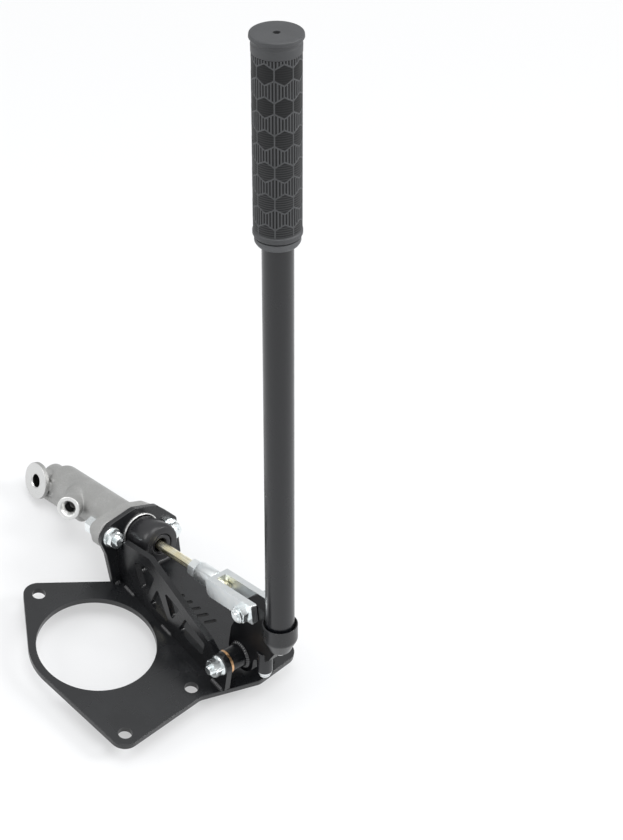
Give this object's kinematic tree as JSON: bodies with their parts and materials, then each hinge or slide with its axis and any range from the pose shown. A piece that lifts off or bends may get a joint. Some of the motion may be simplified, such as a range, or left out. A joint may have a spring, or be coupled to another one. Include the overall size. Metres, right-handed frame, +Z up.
{
  "type": "hydraulic parking brake lever",
  "caption": "Upright hydraulic parking brake lever on a flat bracket: a leaning tube with rubber grip pushes a clevis and pushrod into an inclined cast cylinder with two ports.",
  "frame": {"origin": "centre of the large opening in the base plate, on the plate's underside", "axes": "+X toward the hydraulic cylinder, the way the lever is pulled; +Y away from the lever across the base plate; +Z up, square to the base plate"},
  "size_m": [0.3228, 0.1829, 0.5807],
  "materials": {
    "black_powder_coat": "satin black powder coat",
    "black_satin_tube": "satin black coating on the lever tube",
    "weld_black": "coated weld bead",
    "grip_rubber": "matte moulded rubber",
    "boot_rubber": "semi-matte moulded rubber",
    "seal_rubber": "matte",
    "cast_aluminium": "sand-cast, machined faces brighter",
    "machined_aluminium": "turned",
    "zinc": "bright blue-white zinc plate",
    "yellow_zinc": "yellow zinc plate",
    "bronze": "turned bronze",
    "spring_steel": "plain spring steel"
  },
  "bodies": {
    "bracket": {"base_plate": "black_powder_coat", "bracket_welds": "weld_black", "side_truss_plate": "black_powder_coat", "far_pivot_ear": "black_powder_coat", "cylinder_flange_plate": "black_powder_coat", "cylinder_casting": "cast_aluminium", "dust_boot": "boot_rubber", "retaining_washer": "zinc", "circlip": "spring_steel", "flange_bolts": "zinc", "flange_nuts": "zinc", "pivot_bolt": "zinc", "return_spring": "spring_steel"},
    "lever": {"lever_arm": "black_powder_coat", "lever_sleeve": "black_powder_coat", "lever_tube": "black_satin_tube", "grip": "grip_rubber", "grip_collar": "grip_rubber", "pivot_tube": "black_powder_coat", "pivot_tube_welds": "weld_black", "pivot_bushes": "bronze", "stop_stud": "black_powder_coat"},
    "pushrod_link": {"pushrod": "yellow_zinc", "jam_nut": "zinc", "clevis": "zinc", "clevis_bolt": "zinc", "clevis_lock_nut": "zinc"},
    "piston_unit": {"piston": "machined_aluminium", "primary_seal": "seal_rubber", "secondary_seal": "seal_rubber"}
  },
  "joints": [
    {"name": "lever_pivot", "type": "hinge", "parent": "bracket", "child": "lever", "pos_m": [-0.0847, -0.0795, 0.0274], "axis": [0, 1, 0], "range_deg": [0, 25]},
    {"name": "piston_slide", "type": "slide", "parent": "bracket", "child": "piston_unit", "axis": [0.9527, 0, -0.304], "range_m": [0, 0.0243], "stiffness_N_per_m": 1500, "springref_m": -0.02, "deforming": ["return_spring"]},
    {"name": "clevis_pivot", "type": "hinge", "parent": "lever", "child": "pushrod_link", "pos_m": [-0.08853, -0.0795, 0.08404], "axis": [0, 1, 0], "range_deg": [-23.4, 0]}
  ],
  "couplings": [
    {"joint": "piston_slide", "follows": "lever_pivot", "m_per_rad": 0.05552},
    {"joint": "clevis_pivot", "follows": "lever_pivot", "ratio": -0.935}
  ]
}
